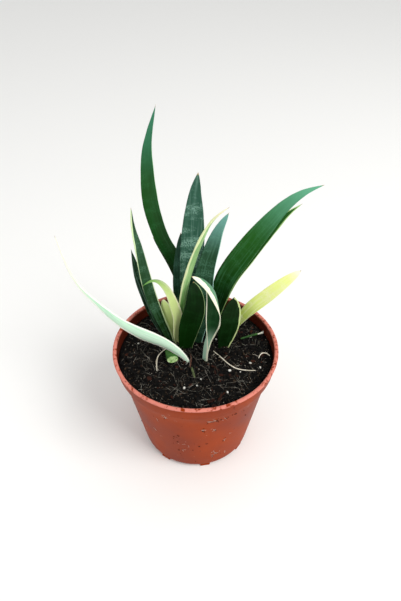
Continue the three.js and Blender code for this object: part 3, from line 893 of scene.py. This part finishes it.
GREEN, PALE, YELLOW = "leaf_green", "leaf_pale", "leaf_yellow"
NONE = (-0.3, -0.3)  # no cream margin on that side
LEAF_LOOKS = {
    # Its teal end colour is a painted sheen on the upper blade.
    "leaf_tall_left": (GREEN, dict(
        foot="#0c2c02", top="#194819", bloom_and_sheen="#327040", bands=0.35, left=NONE, right=(-0.1, 0.3),
        margin="#7fb57c", end="#357558", end_from=0.7)),
    "leaf_behind_tall": (GREEN, dict(
        foot="#10240a", top="#1a3518", bloom_and_sheen="#345a3c", left=NONE, right=NONE)),
    "leaf_centre_broad": (GREEN, dict(
        foot="#0f2a0e", top="#2a5342", bloom_and_sheen="#84ad9c", bands=0.75, streaks=0.2, left=NONE,
        right=NONE, margin="#9cc4b0", gloss=0.46)),
    "leaf_behind_centre": (GREEN, dict(
        foot="#102a12", top="#1f4030", bloom_and_sheen="#4f7c68", bands=0.5, left=NONE, right=NONE)),
    "leaf_striped_centre": (PALE, dict(
        foot="#5c9a40", top="#8cb777", bloom_and_sheen="#b9d79c", streaks=0.8, bands=0.2,
        left=(0.8, 0.9), right=(0.2, 0.8), margin="#e2edb6", end="#f1e9c4", end_from=0.85)),
    # Its near-black foot colour is painted shade, deep among the leaves near the mix.
    "leaf_centre_right": (GREEN, dict(
        foot="#0e2a10", top="#1e4229", bloom_and_sheen="#5a8a70", bands=0.45, left=NONE, right=(0.2, 0.45),
        margin="#a3cfc0", end="#679d90", end_from=0.7, gloss=0.46)),
    "leaf_front_spoon": (GREEN, dict(
        foot="#0c3003", top="#062404", bloom_and_sheen="#1a4a1c", bands=0.4, left=NONE, right=(0.3, 0.25),
        margin="#9fb780")),
    "leaf_curled_front": (GREEN, dict(
        foot="#a6ccb0", top="#163f1d", bloom_and_sheen="#3b6f45", greens=(0.12, 0.42), left=(0.4, 0.4),
        right=(0.4, 1.5), margin="#f2f3d8", under=("#b9dcc1", "#5a8c6a", "#86b093"),
        end="#f7f1d6", end_from=0.92)),
    "leaf_right_blunt": (GREEN, dict(
        foot="#061c03", top="#082404", bloom_and_sheen="#1b421d", bands=0.5, left=NONE, right=(0.8, 1.0),
        margin="#c3d392")),
    "leaf_yellow_right": (YELLOW, dict(
        foot="#b2d044", top="#eef796", bloom_and_sheen="#f8fac8", bands=0.8, streaks=0.4, margin="#f4f7c0",
        end="#fafad8", end_from=0.85, gloss=0.5)),
    # Its teal bloom streaks and light end colour are a painted highlight along the channel up to
    # the tip.
    "leaf_long_right": (GREEN, dict(
        foot="#021e00", top="#1c5612", bloom_and_sheen="#4b8a5c", bands=0.2, streaks=0.3, left=NONE,
        right=(0.35, -0.3), margin="#6f9f58", end="#5fa482", end_from=0.6, gloss=0.36)),
    "leaf_under_right": (GREEN, dict(
        foot="#16470b", top="#20561c", bloom_and_sheen="#3c783a", left=(0.4, 0.4), right=(0.4, 0.4),
        margin="#a9cc82")),
    "leaf_long_left": (PALE, dict(
        foot="#b4dcbc", top="#b0dabb", bloom_and_sheen="#86c098", streaks=0.9, bands=0.1, left=(0.5, 0.6),
        right=(1.7, 1.9), margin="#f4faec", under=("#cdecd2", "#bfe3c7", "#7dbb91"), end="#f9f5dc",
        end_from=0.58)),
    "leaf_left_inner": (GREEN, dict(
        foot="#123409", top="#234629", bloom_and_sheen="#5f8f70", bands=0.5, left=(-1.2, 1.2),
        right=(1.2, -0.4), margin="#d2e6b6")),
    # Its strong grey-teal bloom streaks are a painted highlight down the blade.
    "leaf_left_outer": (GREEN, dict(
        foot="#122e12", top="#1a3a20", bloom_and_sheen="#7fa795", bands=0.3, streaks=0.7, left=NONE,
        right=NONE)),
    # The young leaves' foot and underside colours are made as light as their tops: painted light in
    # their shaded lower parts, standing in for light that passes through.
    "leaf_young_arched": (YELLOW, dict(
        foot="#e2f3a6", top="#d8ec98", bloom_and_sheen="#e8f5ac", streaks=0.5, left=(0.2, 0.6),
        right=(0.5, 1.1), margin="#f0f5c4", under=("#e8f5b2", "#d9ec9c", "#f0f8c4"),
        end="#5f9445", end_from=0.6)),
    "leaf_young_left": (YELLOW, dict(
        foot="#dff0a4", top="#e0f0a6", bloom_and_sheen="#f0f6c8", streaks=0.5, left=(0.4, 0.5),
        right=(0.4, 0.5), margin="#e6efba", under=("#e2f0a8", "#d8ea98", "#ecf5bc"))),
}
for seed, (name, (slot, look)) in enumerate(LEAF_LOOKS.items()):
    leaf = blade(name)
    leaf.data.materials.clear()
    skin_name = name.replace("leaf_", "waxy_leaf_")
    leaf.data.materials.append(leaf_skin(skin_name, seed=seed * 3.7, **look))
    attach(leaf, "root")
    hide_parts(name)


# ---------- loose pieces on the mix ----------
# The stub of a leaf cut with a knife, a broken bit of leaf stem, a thin twig, three old roots
# and the dried scale of an old leaf. None is fixed: all were left lying on the mix.
REST = SOIL_TOP + 0.3 * MM  # the loose pieces lie at this height


def lay(name, pieces, matter):
    """Joins the parts of a loose piece, and puts it in place of the planned one."""
    piece = joined(pieces, name.replace("leaf_", "") + "_on_mix")
    piece.data.materials.clear()
    piece.data.materials.append(matter)
    only(piece)
    bpy.ops.object.shade_smooth_by_angle(angle=math.radians(50))
    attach(piece, "root")
    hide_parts(name)
    return piece


# The stub is a short thick tube of leaf, its front end cut square and paler, with a dark rim.
STUB_RADIUS, STUB_LENGTH = 3.0 * MM, 9.5 * MM
STUB_OVAL = (1.25, 0.9, 1)  # flattened, as the leaf was
STUB_PLACE = Vector((-16, -5.5, 0)) * MM + Vector((0, 0, REST + STUB_RADIUS))
stub_heading = Vector((2, -9, 1.3)).normalized()
stub_turn = stub_heading.to_track_quat("Z", "Y")
bpy.ops.object.select_all(action="DESELECT")
bpy.ops.mesh.primitive_cylinder_add(
    vertices=28,
    radius=STUB_RADIUS,
    depth=STUB_LENGTH,
    location=STUB_PLACE,
    rotation=stub_turn.to_euler(),
    scale=STUB_OVAL,
)
stub = settle(bpy.context.object)
bpy.ops.object.mode_set(mode="EDIT")
bpy.ops.mesh.select_all(action="SELECT")
bpy.ops.mesh.bevel(offset=0.35 * MM, segments=2)
bpy.ops.mesh.select_all(action="DESELECT")
bpy.ops.object.mode_set(mode="OBJECT")
for face in stub.data.polygons:
    face.select = face.normal.dot(stub_heading) > 0.99 and len(face.vertices) > 4
bpy.ops.object.mode_set(mode="EDIT")
bpy.ops.mesh.inset(thickness=0.5 * MM, depth=-0.25 * MM)
bpy.ops.mesh.poke(offset=0.3 * MM)
bpy.ops.mesh.subdivide(number_cuts=2)
bpy.ops.transform.vertex_random(offset=0.16 * MM, seed=5)
bpy.ops.mesh.select_all(action="SELECT")
bpy.ops.transform.vertex_random(offset=0.12 * MM, seed=8)
bpy.ops.object.mode_set(mode="OBJECT")
flesh = loose_matter(
    "cut_leaf_flesh", "#7fb457", "#c3de9f", "#f2f6e4", scale=500, rough=(0.35, 0.6), grit=0.1
)
stub_skin = loose_matter(
    "stub_leaf_skin", "#234a1c", "#3f6d30", "#6f9a55", scale=200, rough=(0.4, 0.5), grit=0.1
)
stub = lay("leaf_stub", [stub], stub_skin)
stub.data.materials.append(flesh)
stub_end = max(v.co.dot(stub_heading) for v in stub.data.vertices)
for face in stub.data.polygons:
    from_end = stub_end - face.center.dot(stub_heading)
    if face.normal.dot(stub_heading) > 0.6 and from_end < 1.2 * MM:
        face.material_index = 1

# The bit of stem is green, and white where it tore.
STEM_RADIUS = 1.0 * MM
STEM_LINE = ((31, 12), (38, 15), (45, 17.5))
TORN_FIBRES = 7
stem_points = [(x * MM, y * MM, REST + 1.1 * MM) for x, y in STEM_LINE]
stem = [strand("stem", stem_points, STEM_RADIUS, 3)]
for i in range(TORN_FIBRES):
    x, y, z = (draw.uniform(-0.6, 0.6) for _ in range(3))
    stem.append(
        strand(
            f"torn_{i}",
            [
                ((43.5 + 0.2 * x) * MM, (17 + y * 0.8) * MM, REST + (1.1 + 0.8 * z) * MM),
                ((45.5 + x) * MM, (17.8 + y) * MM, REST + (1.1 + z) * MM),
                ((47 + x) * MM, (18.3 + 2 * y) * MM, REST + (1.2 + 1.3 * z) * MM),
            ],
            0.22 * MM,
            0,
        )
    )
torn = loose_matter(
    "torn_leaf_fibre", "#c9cdb6", "#e6e8d8", "#f7f7ef", scale=300, rough=(0.6, 0.8), grit=0.1
)
stem_skin = loose_matter(
    "leaf_stem_skin", "#1c3d16", "#2e5522", "#4c7737", scale=200, rough=(0.4, 0.5), grit=0.1
)
stem = lay("green_stem", stem, stem_skin)
stem.data.materials.append(torn)
for face in stem.data.polygons:
    if face.center.x > 44 * MM:
        face.material_index = 1

TWIG_RADIUS = 0.5 * MM
TWIG_LINE = ((-3.5, -2, 0.7), (-2.9, -6, 0.5), (-3.2, -10, 0.9), (-3.5, -14, 0.5))
twig_bark = loose_matter("dry_twig_bark", "#3d241c", "#664337", "#8f6c5e", scale=420)
twig_points = [(x * MM, y * MM, REST + z * MM) for x, y, z in TWIG_LINE]
twig = strand("twig", twig_points, TWIG_RADIUS, 2)
lay("brown_twig", [twig], twig_bark)

ROOT_RADIUS, HAIR_RADIUS, HAIRS = 0.36 * MM, 0.09 * MM, 5
root_skin = loose_matter(
    "dry_root_skin", "#c4b9a2", "#eae2d0", "#faf6ec", scale=260, rough=(0.7, 0.9), grit=0.15
)
for name, places in (
    ("root_front", ((12, 1), (17, -5), (22, -12), (29, -17), (39, -17))),
    ("root_left", ((-20, 3), (-25, -2), (-26, -10), (-25, -17))),
    ("root_right", ((42, -6), (43.5, -1.5), (48, -1), (49.5, -4))),
):
    runs = [(x * MM, y * MM, REST + draw.uniform(0.4, 1.0) * MM) for x, y in places]
    parts = [strand(name + "_main", runs, ROOT_RADIUS, 2, smooth=6)]
    for i in range(HAIRS):
        k = draw.randrange(len(runs) - 1)
        start = Vector(runs[k]).lerp(Vector(runs[k + 1]), draw.random())
        out = Vector((draw.gauss(0, 1), draw.gauss(0, 1), 0.25)) * 1.6 * MM
        side = Vector((draw.gauss(0, 0.5), draw.gauss(0, 0.5), 0)) * MM
        hair = [start, start + out + side, start + 1.6 * out]
        parts.append(strand(f"{name}_hair_{i}", hair, HAIR_RADIUS, 0))
    lay(name, parts, root_skin)

# The scale of an old leaf is thin, brownish and wrinkled.
SCALE_LINE = ((-2.6, -14, 0.6), (-1.9, -17, 0.9), (-0.6, -23, 0.2))
scale_points = [(x * MM, y * MM, z * MM) for x, y, z in SCALE_LINE]
scale_leaf = strand("dried_scale", scale_points, 1.1 * MM, rounds=2, smooth=8)
bpy.ops.object.mode_set(mode="EDIT")
bpy.ops.mesh.select_all(action="SELECT")
bpy.ops.transform.resize(value=(1, 1, 0.4), center_override=(0, 0, 0))
bpy.ops.transform.translate(value=(0, 0, SOIL_TOP + 0.9 * MM))
bpy.ops.transform.vertex_random(offset=0.22 * MM, seed=3)
bpy.ops.object.mode_set(mode="OBJECT")
apply_modifier(scale_leaf, "SUBSURF", levels=1, render_levels=1)
scale_leaf.data.materials.append(
    loose_matter("dried_leaf_scale", "#2c3320", "#5d6744", "#98a078", scale=300, grit=0.2)
)
only(scale_leaf)
bpy.ops.object.shade_smooth()
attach(scale_leaf, "root")


# ---------- splashes on the pot ----------
# Crumbs of peat and wisps of fibre crusted with lime. They were splashed on the outside of
# the wall when the plant was watered, and have dried there.

# Each group has its degrees round the pot, its millimetres up it, how many crumbs and pale
# fibres it has, and how wide and high they spread.
SPLASHES = (
    (-73, 66, 26, 6, 6, 0.9),
    (-113, 66, 3, 4, 1, 2.5),
    (-84, 55, 5, 2, 1.5, 2),
    (-74, 55, 3, 2, 1, 2),
    (-108, 42, 6, 0, 2, 2),
    (-64, 35, 2, 2, 0.8, 1),
    (-52, 72, 3, 0, 1, 1),
    (-72, 17, 4, 12, 5, 3),
    (-98, 25, 3, 3, 5, 4),
)
SCATTERED_CRUMBS, SCATTERED_FIBRES = 80, 30  # single ones, all round the pot
crumb_spots, fibre_spots = [], []
for around, up, crumb_count, fibre_count, wide, high in SPLASHES:
    crumb_spots += [(draw.gauss(around, wide), draw.gauss(up, high)) for _ in range(crumb_count)]
    fibre_spots += [(draw.gauss(around, wide), draw.gauss(up, high)) for _ in range(fibre_count)]
crumb_spots += [(draw.uniform(-180, 180), draw.uniform(8, 80)) for _ in range(SCATTERED_CRUMBS)]
fibre_spots += [(draw.uniform(-180, 180), draw.uniform(8, 68)) for _ in range(SCATTERED_FIBRES)]


def on_the_wall(around, up, out):
    """The place on the pot's outside, with X facing out, so many millimetres off it."""
    height, turn = up * MM, math.radians(around)
    away = (COLLAR_RADIUS if height > COLLAR_FOOT else body_radius(height)) + out * MM
    spot = Matrix.Translation((away * math.cos(turn), away * math.sin(turn), height))
    return spot @ Matrix.Rotation(turn, 4, "Z")


stuck_crumbs = []
for spot in crumb_spots:
    size = draw.uniform(0.35, 1.1)
    wide, high = size * draw.uniform(0.7, 1.6), size * draw.uniform(0.5, 1)
    shape = Matrix.Diagonal((0.4 * size, wide, high, 1))
    stuck_crumbs.append(on_the_wall(*spot, 0.1 * size) @ shape)
stuck_fibres = []
for spot in fibre_spots:
    lean = Matrix.Rotation(draw.uniform(0, math.pi), 4, "X") @ Matrix.Rotation(math.pi / 2, 4, "Z")
    stuck_fibres.append(on_the_wall(*spot, 0.14) @ lean @ Matrix.Scale(draw.uniform(0.5, 1.4), 4))
wisps = [strand(f"wisp_{i}", wandering(2.4, 0.15, 3), 0.13 * MM, 0, 2) for i in range(4)]
pale_wisp = loose_matter("lime_crusted_fibre", "#8d7f74", "#c9bdb0", "#ece4da", scale=500, grit=0.1)
splash_peat = loose_matter("splashed_peat_crumb", "#2a1009", "#4a2114", "#6e3a28", scale=500)
for name, patterns, places, matter in (
    ("splashed_peat", crumbs(6, 0.16), stuck_crumbs, splash_peat),
    ("stuck_fibres", wisps, stuck_fibres, pale_wisp),
):
    piece = copies_of(name, patterns, places)
    piece.data.materials.append(matter)
    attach(piece, "root")
